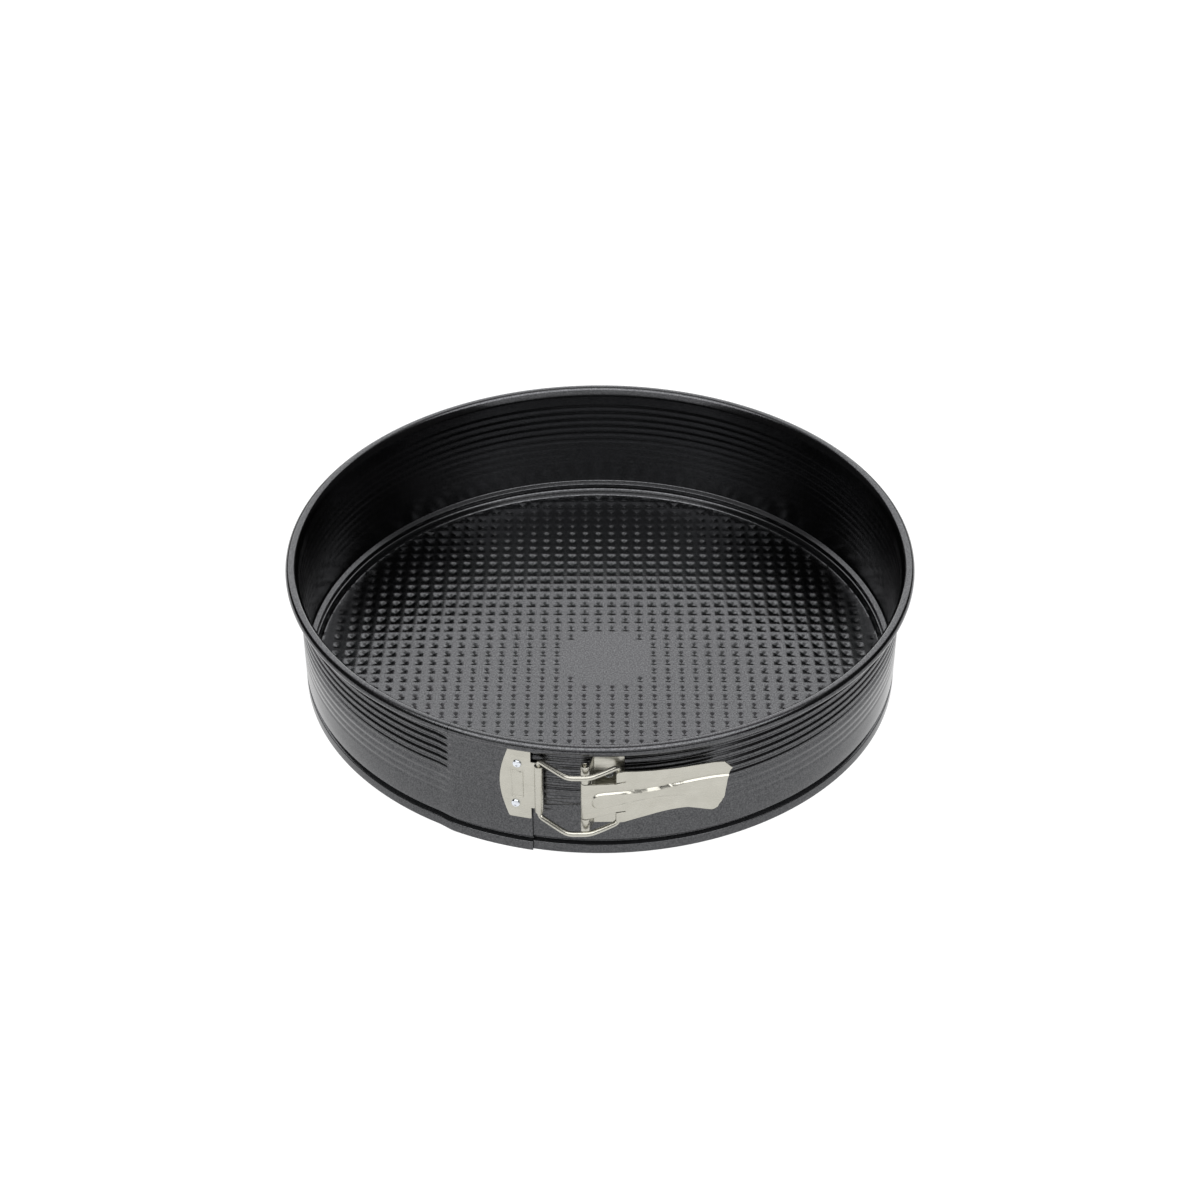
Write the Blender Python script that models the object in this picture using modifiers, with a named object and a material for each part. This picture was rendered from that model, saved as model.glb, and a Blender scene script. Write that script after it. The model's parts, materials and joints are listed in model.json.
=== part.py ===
"""Springform pan, 28 cm across and 64 mm high, latched shut.

The frame is the pan's own: +Z up, the origin on the pan's axis at the level
that it stands on, the latch towards -Y and its lever pointing to +X.
A base plate lies inside a sheet steel band whose two ends lap at the front.
A wire bail on the left end of the band is drawn tight by an over-centre
lever on the right end.
"""

import math

import bmesh
import bpy
from mathutils import Matrix, Vector

MM = 0.001
GAP = 0.3 * MM                     # running clearance between pieces

# Band: one sheet with a rolled rim, a locking groove and a plain skirt
SHEET = 0.6 * MM
BAND_R = 142.0 * MM                # outer radius of the skirt and the lower wall
WALL_TOP_R = 142.3 * MM            # outer radius just under the rim
GROOVE_R = 140.9 * MM              # outer radius at the bottom of the groove
SKIRT_H = 4.8 * MM
GROOVE_Z = (5.6 * MM, 6.8 * MM)
WALL_FOOT_Z = 7.9 * MM
NECK_Z = 56.0 * MM                 # where the wall starts to turn out
RIM_R = 145.3 * MM                 # centre of the rolled rim
RIM_Z = 61.6 * MM
BEAD_R = 2.6 * MM
STEP_DEG = 5.0                     # size of one facet round the pan

# The two ends of the band, in degrees from the front, positive to the left
END_RIGHT = 26.0                   # the inner layer stops here
RIM_END_LEFT = 26.3                # the left half's rolled rim stops here
JOGGLE = (28.6, 26.6)              # the left half steps out over the inner layer
TONGUE_END = 11.6                  # the outer layer stops here
LAP = 1.05 * MM                    # how far the tongue stands out
TONGUE_TOP_Z = 57.4 * MM

# Base plate
FIELD_TOP_Z = 1.4 * MM
BASE_RIM = [(136.6, 1.4), (137.9, 3.9), (138.6, 4.7), (139.7, 4.7), (140.8, 3.6),
            (140.8, 2.9), (139.5, 3.9), (138.8, 3.9), (138.2, 3.1), (137.1, 0.0)]

# Latch
LATCH_Z = 38.7 * MM                # mid height of the whole latch
PLATE_H = 38.2 * MM                # height of the catch plate and of the bracket
PLATE_T = 0.8 * MM
CATCH = Vector((-26.2 * MM, -143.2 * MM, 0.0))     # axis of the bail in the catch
PIVOT = Vector((-6.3 * MM, -150.4 * MM, 0.0))      # axis of the lever's pin
HOOK = Vector((7.9 * MM, -147.6 * MM, 0.0))        # where the bail pulls on the lever
WIRE_R = 1.2 * MM
ARM_RISE = 15.8 * MM               # the bail's arms lie this far from mid height
PIN_R = 1.0 * MM
ROLL_R = 2.1 * MM                  # outer radius of the bracket's and lever's rolls
CATCH_ROLL_R = 2.2 * MM
CATCH_ROLL_H = 26.0 * MM
LEVER_ROLL_H = 19.4 * MM
LEVER_T = 0.9 * MM
SLIT_RISE = 8.0 * MM               # the lever's two slits lie this far from mid height
SLIT_X = (6.0 * MM, 10.9 * MM)
# Plan of the opening in the bracket's wing that the lever's roll turns in
WINDOW_PLAN = [(-10.0 * MM, -154.0 * MM), (0.0, -154.0 * MM),
               (0.0, -145.0 * MM), (-10.0 * MM, -145.0 * MM)]
BRACKET_FOOT_X = -3.4 * MM         # the bracket's plate runs from here
BRACKET_TOE_X = 10.6 * MM          # to here

# Rivets: (degrees from the front, positive to the left; height)
CATCH_RIVETS = {"catch_rivet_upper": (14.2, 50.1 * MM),
                "catch_rivet_lower": (14.6, 27.5 * MM)}
BRACKET_RIVETS = {"bracket_rivet_upper": (-1.5, 47.4 * MM),
                  "bracket_rivet_lower": (-1.5, 30.0 * MM)}
RIVET_R = 1.1 * MM
RIVET_HEAD_R = 2.0 * MM
RIVET_HEAD_H = 0.9 * MM


# ---------------------------------------------------------------- scene tools

def clear_scene():
    for obj in list(bpy.data.objects):
        bpy.data.objects.remove(obj, do_unlink=True)


def new_collection(name):
    group = bpy.data.collections.new(name)
    bpy.context.scene.collection.children.link(group)
    return group


def steel(name, colour, roughness, metallic):
    mat = bpy.data.materials.new(name)
    mat.use_nodes = True
    shader = mat.node_tree.nodes["Principled BSDF"]
    shader.inputs["Base Color"].default_value = (*colour, 1.0)
    shader.inputs["Roughness"].default_value = roughness
    shader.inputs["Metallic"].default_value = metallic
    return mat


def finish_mesh(bm, name, group, mat=None, origin=Vector((0, 0, 0))):
    """Close the bmesh off as an object whose origin lies at the given point."""
    bmesh.ops.recalc_face_normals(bm, faces=bm.faces)
    bmesh.ops.translate(bm, verts=bm.verts, vec=-origin)
    mesh = bpy.data.meshes.new(name)
    bm.to_mesh(mesh)
    bm.free()
    obj = bpy.data.objects.new(name, mesh)
    obj.location = origin
    group.objects.link(obj)
    if mat:
        mesh.materials.append(mat)
    return obj


def boolean(obj, tool, operation):
    mod = obj.modifiers.new(f"{operation.lower()}_{tool.name}", "BOOLEAN")
    mod.operation = operation
    mod.object = tool
    mod.solver = "EXACT"
    tool.hide_render = True
    tool.display_type = "WIRE"


# ------------------------------------------------------------- shape makers

def direction(degrees):
    """Outward unit vector at an angle from the front, positive to the left."""
    a = math.radians(degrees)
    return Vector((-math.sin(a), -math.cos(a), 0.0))


def degrees_from_front(point):
    return math.degrees(math.atan2(-point.x, -point.y))


def add_profile_face(bm, profile, degrees):
    out = direction(degrees)
    verts = [bm.verts.new(out * r + Vector((0, 0, z))) for r, z in profile]
    return bm.faces.new(verts)


def sweep_ring(profile, start, stops):
    """Turn a closed profile round the pan's axis from one angle to the next."""
    bm = bmesh.new()
    face = add_profile_face(bm, profile, start)
    geom = [face, *face.verts, *face.edges]
    here = start
    for stop in stops:
        turn = stop - here
        steps = max(1, round(abs(turn) / STEP_DEG))
        turned = bmesh.ops.spin(bm, geom=geom, cent=(0, 0, 0), axis=(0, 0, -1),
                                angle=math.radians(turn), steps=steps)
        geom = turned["geom_last"]
        here = stop
    return bm


def cylinder(name, group, centre, radius, z_low, z_high, sides=20, mat=None):
    """A standing cylinder, as an object whose origin is on its own axis."""
    bm = bmesh.new()
    place = Matrix.Translation((centre.x, centre.y, (z_low + z_high) / 2))
    bmesh.ops.create_cone(bm, cap_ends=True, segments=sides, radius1=radius,
                          radius2=radius, depth=z_high - z_low, matrix=place)
    return finish_mesh(bm, name, group, mat, origin=centre)


def add_roll(obj, group, centre, radius, bore_radius, z_low, z_high):
    """Roll the sheet's end round an axis: a round boss, then its bore."""
    boss = cylinder(f"{obj.name}_roll", group, centre, radius, z_low, z_high)
    bore = cylinder(f"{obj.name}_bore", group, centre, bore_radius, z_low - MM, z_high + MM)
    boolean(obj, boss, "UNION")
    boolean(obj, bore, "DIFFERENCE")


def prism_bmesh(outline, low, high, place):
    """Extrude a flat outline from one level to another, then place each point."""
    bm = bmesh.new()
    face = bm.faces.new([bm.verts.new((u, v, low)) for u, v in outline])
    raised = bmesh.ops.extrude_face_region(bm, geom=[face])["geom"]
    tops = [g for g in raised if isinstance(g, bmesh.types.BMVert)]
    bmesh.ops.translate(bm, verts=tops, vec=(0, 0, high - low))
    return place(bm)


def bisect_along(bm, axis, stations):
    """Cut the mesh across an axis at each station, so that it can be bent."""
    normal = Vector((0, 0, 0))
    normal[axis] = 1.0
    for station in stations:
        everything = [*bm.verts, *bm.edges, *bm.faces]
        bmesh.ops.bisect_plane(bm, geom=everything, dist=0.000001,
                               plane_co=normal * station, plane_no=normal)


# -------------------------------------------------------------------- band

def band_profile():
    """Section of the band, up its outer side, round the rim and down inside."""
    outer = [(BAND_R, 0.0), (BAND_R, SKIRT_H), (GROOVE_R, GROOVE_Z[0]),
             (GROOVE_R, GROOVE_Z[1]), (BAND_R, WALL_FOOT_Z), (WALL_TOP_R, NECK_Z),
             (WALL_TOP_R + 0.5 * SHEET, NECK_Z + 4 * SHEET)]
    bead = []
    for k in range(8):
        a = math.radians(225 + 45 * k)
        bead.append((RIM_R + BEAD_R * math.cos(a), RIM_Z + BEAD_R * math.sin(a)))
    inner = [(RIM_R - BEAD_R - SHEET, RIM_Z - BEAD_R + SHEET)]
    inner += [(r - SHEET, z) for r, z in reversed(outer[:-1])]
    return outer + bead + inner


def step_out_tongue(bm):
    """Push the lapping end of the left half out over the inner layer."""
    for vert in bm.verts:
        radius = vert.co.to_2d().length
        share = (JOGGLE[0] - degrees_from_front(vert.co)) / (JOGGLE[0] - JOGGLE[1])
        if radius < RIM_R - BEAD_R - 0.05 * MM and degrees_from_front(vert.co) > 0:
            move = LAP * min(max(share, 0.0), 1.0)
            vert.co.x *= 1 + move / radius
            vert.co.y *= 1 + move / radius


def make_bands(parts, tools, mat):
    half_gap = math.degrees(0.5 * GAP / BAND_R)
    right = sweep_ring(band_profile(), -180 + half_gap, [0, END_RIGHT])
    band_right = finish_mesh(right, "band_right", parts, mat)

    left = sweep_ring(band_profile(), 180 - half_gap, [*JOGGLE, TONGUE_END])
    step_out_tongue(left)
    band_left = finish_mesh(left, "band_left", parts, mat)
    over = 9.0 * MM
    block = [(BAND_R - over, TONGUE_TOP_Z), (RIM_R + over, TONGUE_TOP_Z),
             (RIM_R + over, RIM_Z + over), (BAND_R - over, RIM_Z + over)]
    cutter = sweep_ring(block, RIM_END_LEFT, [TONGUE_END - 2.0])
    boolean(band_left, finish_mesh(cutter, "rim_cutter", tools), "DIFFERENCE")
    return band_left, band_right


# -------------------------------------------------------------------- base

def make_base(parts, mat):
    rim = [(r * MM, z * MM) for r, z in BASE_RIM]
    profile = [(0.0, FIELD_TOP_Z), *rim, (0.0, 0.0)]
    mesh = bpy.data.meshes.new("base_plate")
    edges = [(i, i + 1) for i in range(len(profile) - 1)]
    mesh.from_pydata([(r, 0.0, z) for r, z in profile], edges, [])
    base = bpy.data.objects.new("base_plate", mesh)
    parts.objects.link(base)
    mesh.materials.append(mat)
    screw = base.modifiers.new("turn", "SCREW")
    screw.steps = 72
    screw.render_steps = 72
    screw.use_merge_vertices = True
    screw.merge_threshold = 0.00001
    return base


# ------------------------------------------------------------------- latch

def wrap_on_wall(radius):
    """Place (degrees, height, depth) points on the wall at a radius."""
    def place(bm):
        for vert in bm.verts:
            degrees, height, depth = vert.co
            vert.co = direction(degrees) * (radius + depth) + Vector((0, 0, height))
        return bm
    return place


def make_catch_plate(parts, tools, mat):
    """Plate with a bowed outer edge; its inner edge is rolled round the bail."""
    low, high = LATCH_Z - PLATE_H / 2, LATCH_Z + PLATE_H / 2
    roll_low, roll_high = LATCH_Z - CATCH_ROLL_H / 2, LATCH_Z + CATCH_ROLL_H / 2
    roll_at = degrees_from_front(CATCH)
    bow = []
    for k in range(7):
        share = k / 6
        bulge = 1.6 * math.sin(math.pi * share)
        bow.append((15.9 + bulge, high + (low - high) * share))
    outline = [(TONGUE_END, low), (TONGUE_END, roll_low), (roll_at, roll_low),
               (roll_at, roll_high), (TONGUE_END, roll_high), (TONGUE_END, high), *bow]
    inner_r = WALL_TOP_R + LAP + GAP - 0.1 * MM
    flat = prism_bmesh(outline, 0.0, PLATE_T, lambda bm: bm)
    bisect_along(flat, 0, [13.3, 14.9])
    plate = finish_mesh(wrap_on_wall(inner_r)(flat), "catch_plate", parts, mat)
    inset = 0.01 * MM
    add_roll(plate, tools, CATCH, CATCH_ROLL_R, WIRE_R + GAP, roll_low - inset,
             roll_high + inset)
    return plate


def bail_arm_route():
    """Plan view of one arm, from the catch round the pivot to the hook."""
    corners = [CATCH, Vector((-16.8 * MM, -152.2 * MM, 0)),
               Vector((-13.4 * MM, -154.9 * MM, 0)), Vector((-4.6 * MM, -154.9 * MM, 0)),
               Vector((1.6 * MM, -151.4 * MM, 0)), HOOK]
    route = corners
    for _ in range(2):
        softer = [route[0]]
        for here, there in zip(route[:-1], route[1:]):
            softer += [here.lerp(there, 0.25), here.lerp(there, 0.75)]
        route = [*softer, route[-1]]
    return route


def make_bail(parts, mat):
    """One wire: hook end, upper arm, leg through the catch, lower arm, hook end."""
    arm = bail_arm_route()
    leg_end = CATCH + Vector((0, 0, ARM_RISE - 2.0 * MM))
    bend = CATCH.lerp(arm[2], 0.25) + Vector((0, 0, ARM_RISE - 0.6 * MM))
    upper = [leg_end, bend, *(p + Vector((0, 0, ARM_RISE)) for p in arm[2:])]
    lower = [Vector((p.x, p.y, -p.z)) for p in upper]
    points = [*reversed(upper), *lower]
    curve = bpy.data.curves.new("bail", "CURVE")
    curve.dimensions = "3D"
    curve.bevel_depth = WIRE_R
    curve.bevel_resolution = 2
    curve.use_fill_caps = True
    spline = curve.splines.new("POLY")
    spline.points.add(len(points) - 1)
    for slot, point in zip(spline.points, points):
        slot.co = (*(point - CATCH), 1.0)
    bail = bpy.data.objects.new("bail", curve)
    bail.location = CATCH + Vector((0, 0, LATCH_Z))
    parts.objects.link(bail)
    curve.materials.append(mat)
    return bail


def make_bracket(parts, tools, mat):
    """Plate on the wall with a wing that ends in two rolls for the pivot pin."""
    low, high = LATCH_Z - PLATE_H / 2, LATCH_Z + PLATE_H / 2
    inner_r = WALL_TOP_R + GAP
    foot = math.degrees(-BRACKET_FOOT_X / inner_r)
    toe = math.degrees(-BRACKET_TOE_X / inner_r)
    tall = [(foot, low), (toe + 0.8, low), (toe, low + 2.5 * MM),
            (toe, high - 2.5 * MM), (toe + 0.8, high), (foot, high)]
    flat = prism_bmesh(tall, 0.0, PLATE_T, lambda bm: bm)
    bisect_along(flat, 0, [0.0, foot / 2 + toe / 2])
    bracket = finish_mesh(wrap_on_wall(inner_r)(flat), "latch_bracket", parts, mat)

    wing_foot = direction(foot) * (inner_r + 0.15 * MM)
    right_side = PIVOT.x + ROLL_R
    wing = [(wing_foot.x, wing_foot.y), (wing_foot.x + PLATE_T, wing_foot.y),
            (right_side - 0.03 * MM, PIVOT.y), (right_side - PLATE_T, PIVOT.y)]
    inset = 0.013 * MM
    wing_bm = prism_bmesh(wing, low + inset, high - inset, lambda bm: bm)
    boolean(bracket, finish_mesh(wing_bm, "bracket_wing", tools), "UNION")
    add_roll(bracket, tools, PIVOT, ROLL_R, PIN_R + GAP, low, high)

    window_low = LATCH_Z - LEVER_ROLL_H / 2 - GAP
    window_high = LATCH_Z + LEVER_ROLL_H / 2 + GAP
    window = prism_bmesh(WINDOW_PLAN, window_low, window_high, lambda bm: bm)
    boolean(bracket, finish_mesh(window, "bracket_window", tools), "DIFFERENCE")
    return bracket


def make_pin(parts, mat):
    low, high = LATCH_Z - PLATE_H / 2 + MM, LATCH_Z + PLATE_H / 2 - MM
    return cylinder("pivot_pin", parts, PIVOT, PIN_R, low, high, mat=mat)


# Outer face of the lever in plan, from its roll to its tip
LEVER_FACE = [(-7.1, -152.42), (1.6, -150.9), (11.1, -148.7), (21.5, -146.2),
              (29.6, -144.0), (38.0, -142.4), (48.7, -141.5), (57.0, -141.5)]


def lever_face_y(x):
    for (x0, y0), (x1, y1) in zip(LEVER_FACE[:-1], LEVER_FACE[1:]):
        if x <= x1 * MM or x1 == LEVER_FACE[-1][0]:
            share = (x - x0 * MM) / ((x1 - x0) * MM)
            return (y0 + (y1 - y0) * share) * MM
    return LEVER_FACE[-1][1] * MM


def lever_outline():
    """Side view as (distance right, height from mid height): neck, ears, waist, tip."""
    upper = [(6.9, 8.0), (6.9, 14.0), (10.5, 14.2), (16.0, 13.2), (24.0, 12.2),
             (34.0, 11.4), (42.0, 12.4), (49.0, 13.4), (55.0, 13.6), (56.8, 11.5)]
    lower = [(51.2, -11.8), (49.0, -13.5), (46.0, -13.0), (38.0, -11.2), (32.0, -11.2),
             (24.0, -12.0), (16.0, -13.2), (10.5, -14.2), (6.9, -14.0), (6.9, -8.0)]
    neck = LEVER_ROLL_H / MM / 2 - 0.02
    return [(-7.1, neck), *upper, *lower, (-7.1, -neck)]


def make_lever(parts, tools, mat):
    """Flat blank, run the other way round so that it faces out, then bent and rolled."""
    outline = [(x * MM, z * MM) for x, z in reversed(lever_outline())]
    flat = prism_bmesh(outline, 0.0, LEVER_T, lambda bm: bm)
    bisect_along(flat, 0, [x * MM for x, _ in LEVER_FACE[1:-1]])
    for vert in flat.verts:
        x, height, depth = vert.co
        vert.co = Vector((x, lever_face_y(x) + depth, LATCH_Z + height))
    lever = finish_mesh(flat, "latch_lever", parts, mat)
    low, high = LATCH_Z - LEVER_ROLL_H / 2, LATCH_Z + LEVER_ROLL_H / 2
    add_roll(lever, tools, PIVOT, ROLL_R, PIN_R + GAP, low, high)
    for side in (-1, 1):
        level = LATCH_Z + side * SLIT_RISE
        slit = [(SLIT_X[0], level - GAP), (SLIT_X[1], level - GAP),
                (SLIT_X[1], level + GAP), (SLIT_X[0], level + GAP)]
        bm = prism_bmesh(slit, -154 * MM, -140 * MM, stand_up)
        boolean(lever, finish_mesh(bm, f"lever_slit_{'lower' if side < 0 else 'upper'}", tools),
                "DIFFERENCE")
    return lever


def stand_up(bm):
    """Turn (x, z, depth) points so that the third value runs along Y."""
    for vert in bm.verts:
        vert.co = Vector((vert.co.x, vert.co.z, vert.co.y))
    return bm


# ------------------------------------------------------------------ rivets

def radial_matrix(degrees, radius, height):
    """Local +Z points outwards from the pan's axis at the given place."""
    out = direction(degrees)
    turn = Vector((0, 0, 1)).rotation_difference(out).to_matrix().to_4x4()
    return Matrix.Translation(out * radius + Vector((0, 0, height))) @ turn


def make_rivet(name, degrees, height, inside_r, outside_r, tail, parts, mat):
    """Turned rivet: domed head outside, shank, and a low tail where one is asked."""
    head = outside_r + 0.05 * MM + GAP / 2
    top = head + RIVET_HEAD_H
    profile = [(0.0, top), (1.2 * MM, top - 0.2 * MM), (RIVET_HEAD_R, head + 0.25 * MM),
               (RIVET_HEAD_R, head), (RIVET_R, head)]
    if tail:
        under = inside_r - GAP / 2 - 0.05 * MM
        profile += [(RIVET_R, under), (1.7 * MM, under), (1.7 * MM, under - 0.4 * MM),
                    (0.0, under - 0.4 * MM)]
    else:
        profile += [(RIVET_R, inside_r), (0.0, inside_r)]
    bm = bmesh.new()
    verts = [bm.verts.new((r, 0.0, h)) for r, h in profile]
    edges = [bm.edges.new(pair) for pair in zip(verts[:-1], verts[1:])]
    bmesh.ops.spin(bm, geom=[*verts, *edges], cent=(0, 0, 0), axis=(0, 0, 1),
                   angle=math.tau, steps=16, use_merge=True)
    bmesh.ops.remove_doubles(bm, verts=bm.verts, dist=0.00001)
    bmesh.ops.transform(bm, matrix=radial_matrix(degrees, 0.0, height), verts=bm.verts)
    return finish_mesh(bm, name, parts, mat)


def drill(name, targets, degrees, height, tools):
    bm = bmesh.new()
    bmesh.ops.create_cone(bm, cap_ends=True, segments=16, radius1=RIVET_R + GAP,
                          radius2=RIVET_R + GAP, depth=10 * MM,
                          matrix=radial_matrix(degrees, BAND_R + MM, height))
    hole = finish_mesh(bm, name, tools)
    for target in targets:
        boolean(target, hole, "DIFFERENCE")


# -------------------------------------------------------------------- build

def build():
    clear_scene()
    parts = new_collection("springform_pan")
    tools = new_collection("cutters")
    coated = steel("nonstick_steel", (0.045, 0.046, 0.050), 0.38, 0.55)
    nickel = steel("nickel_plated_steel", (0.62, 0.60, 0.55), 0.28, 1.0)
    rivet = steel("rivet_steel", (0.70, 0.72, 0.76), 0.22, 1.0)

    make_base(parts, coated)
    band_left, band_right = make_bands(parts, tools, coated)
    catch = make_catch_plate(parts, tools, nickel)
    bracket = make_bracket(parts, tools, nickel)
    make_bail(parts, nickel)
    make_pin(parts, nickel)
    make_lever(parts, tools, nickel)

    tongue_inside = BAND_R + LAP - SHEET + 0.25 * MM
    catch_outside = WALL_TOP_R + LAP + GAP - 0.1 * MM + PLATE_T
    for name, (degrees, height) in CATCH_RIVETS.items():
        drill(f"hole_{name}", [catch, band_left], degrees, height, tools)
        make_rivet(name, degrees, height, tongue_inside, catch_outside, False, parts, rivet)
    bracket_outside = WALL_TOP_R + GAP + PLATE_T
    for name, (degrees, height) in BRACKET_RIVETS.items():
        drill(f"hole_{name}", [bracket, band_right], degrees, height, tools)
        make_rivet(name, degrees, height, BAND_R - SHEET, bracket_outside, True, parts, rivet)


build()
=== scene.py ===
# %% [markdown]
# # A springform pan
#
# A springform pan is a loose base plate inside a thin steel band. The band's two ends lap
# at the front, where a wire bail and an over-centre lever draw them together. This lesson
# dresses the plain CAD model of the pan: every piece is rebuilt as folded and pressed
# sheet metal, and takes a finish made from shader nodes.
#
# The first step loads the CAD model as a fixed frame. The finished pieces must not grow
# past it. The model could be drawn over by hand instead, but a script that reads it stays
# right when a size in it changes.

# %% Load the frame
import json
import math

import bmesh
import bpy
from mathutils import Matrix, Vector


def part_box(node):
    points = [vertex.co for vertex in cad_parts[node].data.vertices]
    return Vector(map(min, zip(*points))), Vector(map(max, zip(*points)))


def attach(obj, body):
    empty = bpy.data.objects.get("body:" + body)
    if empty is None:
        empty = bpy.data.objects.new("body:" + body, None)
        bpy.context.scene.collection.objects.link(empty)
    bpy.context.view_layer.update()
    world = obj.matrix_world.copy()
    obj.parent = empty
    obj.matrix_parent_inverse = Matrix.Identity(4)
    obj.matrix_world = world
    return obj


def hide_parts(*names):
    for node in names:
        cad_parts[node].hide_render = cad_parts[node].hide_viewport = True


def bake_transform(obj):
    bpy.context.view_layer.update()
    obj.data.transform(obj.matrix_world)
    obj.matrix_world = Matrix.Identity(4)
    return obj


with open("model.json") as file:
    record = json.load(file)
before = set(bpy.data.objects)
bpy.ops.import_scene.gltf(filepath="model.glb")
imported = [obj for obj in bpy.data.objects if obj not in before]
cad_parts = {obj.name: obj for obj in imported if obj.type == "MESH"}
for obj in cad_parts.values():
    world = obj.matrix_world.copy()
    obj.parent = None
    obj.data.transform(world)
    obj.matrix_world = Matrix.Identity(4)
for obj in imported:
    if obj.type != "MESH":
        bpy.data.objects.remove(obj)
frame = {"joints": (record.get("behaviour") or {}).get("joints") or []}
bpy.context.view_layer.update()

# %% [markdown]
# ## Sizes
#
# Most sizes can be read from the frame: the rim's radius and height from the band's box,
# the base's radius from its own box, and the latch's axes from the joints. What a box
# can't tell, such as the thickness of the sheet, is named here once, in metres.

# %% Read the sizes
MM = 0.001
SHEET = 0.6 * MM                     # thickness of the band and the base
PLATE = 0.8 * MM                     # thickness of the catch plate and the bracket
LEVER_SHEET = 0.9 * MM
BEAD_R = 2.6 * MM                    # half the thickness of the rolled rim

band_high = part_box("band_right")[1]
PAN_HEIGHT = band_high.z
RIM_R = band_high.x - BEAD_R         # centre line of the rolled rim
RIM_Z = PAN_HEIGHT - BEAD_R
WALL_R = RIM_R - 3.0 * MM            # outside of the wall, under the rim
SKIRT_R = WALL_R - 0.3 * MM
BASE_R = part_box("base_plate")[1].x
pin_low, pin_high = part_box("pivot_pin")
LATCH_Z = (pin_low.z + pin_high.z) / 2
joints = {joint["name"]: joint for joint in frame["joints"]}
PIVOT = Vector(((pin_low.x + pin_high.x) / 2, (pin_low.y + pin_high.y) / 2, 0.0))
catch_low, catch_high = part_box("catch_plate")
print(f"pan {2 * band_high.x / MM:.1f} mm across and {PAN_HEIGHT / MM:.1f} mm high,",
      f"base {2 * BASE_R / MM:.1f} mm, latch axis at {PIVOT / MM}, height {LATCH_Z / MM:.1f}")

# %% [markdown]
# ## Directions round the pan
#
# Places on the band are easiest to give as an angle round the pan. Zero is the front,
# where the latch is, and angles grow towards the left.

# %% Angles and smooth steps
def direction(degrees):
    """Outward unit vector at an angle from the front, positive to the left."""
    a = math.radians(degrees)
    return Vector((-math.sin(a), -math.cos(a), 0.0))


def degrees_from_front(point):
    return math.degrees(math.atan2(-point.x, -point.y))


def smooth(start, end, value):
    """Zero before start, one after end, and a soft S between them."""
    share = min(max((value - start) / (end - start), 0.0), 1.0)
    return share * share * (3.0 - 2.0 * share)


print("front", direction(0).to_tuple(2), "left", direction(90).to_tuple(2))

# %% [markdown]
# ## Finishes
#
# The pan has three. The band and the base carry a dark grey non-stick coating that
# shines like satin: tiny metal flakes lie in it, so it reflects like a dark metal. The
# latch is sheet steel under a warm, slightly cloudy nickel plate, and the rivets are
# brighter and bluer. Pictures of the surfaces could be wrapped round the pieces, but a
# noise needs no unwrapping and never repeats. All patterns read Object coordinates, so
# they stay put on each piece.

# %% A helper for node materials
def new_finish(name, metallic):
    """A material, its node tree, its shader and its texture coordinates."""
    mat = bpy.data.materials.new(name)
    mat.use_nodes = True
    tree = mat.node_tree
    shader = tree.nodes["Principled BSDF"]
    shader.inputs["Metallic"].default_value = metallic
    place = tree.nodes.new("ShaderNodeTexCoord")
    return mat, tree, shader, place


def add_noise(tree, place, scale, detail, stretch=(1.0, 1.0, 1.0)):
    """A noise in Object coordinates, which a stretch turns into streaks."""
    mapping = tree.nodes.new("ShaderNodeMapping")
    mapping.inputs["Scale"].default_value = stretch
    noise = tree.nodes.new("ShaderNodeTexNoise")
    noise.inputs["Scale"].default_value = scale
    noise.inputs["Detail"].default_value = detail
    tree.links.new(place.outputs["Object"], mapping.inputs["Vector"])
    tree.links.new(mapping.outputs["Vector"], noise.inputs["Vector"])
    return noise.outputs["Fac"]


def add_ramp(tree, value, stops):
    """Turn a value into a colour between two stops."""
    ramp = tree.nodes.new("ShaderNodeValToRGB")
    elements = ramp.color_ramp.elements
    for slot, (position, colour) in zip(elements, stops):
        slot.position = position
        slot.color = (*colour, 1.0)
    tree.links.new(value, ramp.inputs["Fac"])
    return ramp.outputs["Color"]


def add_range(tree, value, low, high):
    """Spread a noise, which mostly lies between 0.3 and 0.7, over a range."""
    spread = tree.nodes.new("ShaderNodeMapRange")
    spread.inputs["From Min"].default_value = 0.3
    spread.inputs["From Max"].default_value = 0.7
    spread.inputs["To Min"].default_value = low
    spread.inputs["To Max"].default_value = high
    tree.links.new(value, spread.inputs["Value"])
    return spread.outputs["Result"]


def add_bump(tree, shader, value, strength, distance):
    """Let a value tilt the surface a little."""
    bump = tree.nodes.new("ShaderNodeBump")
    bump.inputs["Strength"].default_value = strength
    bump.inputs["Distance"].default_value = distance
    tree.links.new(value, bump.inputs["Height"])
    tree.links.new(bump.outputs["Normal"], shader.inputs["Normal"])


# %% [markdown]
# The coating's flakes are a fine noise that lightens and darkens the colour, its
# slow noise makes the gloss a little uneven, as sprayed coatings are, and a fine bump
# gives the skin its satin grain.

# %% The non-stick coating
coating, tree, shader, place = new_finish("nonstick_coating", 1.0)
flakes = add_noise(tree, place, 1500.0, 3.0)
flake_colours = [(0.36, (0.060, 0.061, 0.064)), (0.66, (0.120, 0.121, 0.125))]
tree.links.new(add_ramp(tree, flakes, flake_colours), shader.inputs["Base Color"])
tree.links.new(add_range(tree, add_noise(tree, place, 26.0, 3.0), 0.17, 0.22),
               shader.inputs["Roughness"])
add_bump(tree, shader, add_noise(tree, place, 1100.0, 2.0), 0.16, 0.02 * MM)
print("coating nodes:", len(tree.nodes))

# %% [markdown]
# Nickel plate is warm and soft. Faint streaks run along the sheet, the way it was rolled
# before it was cut, and the plating has clouded slightly. Stretching one noise along the
# sheet gives both the streaks in the gloss and the bump, so that they fall together.

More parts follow.
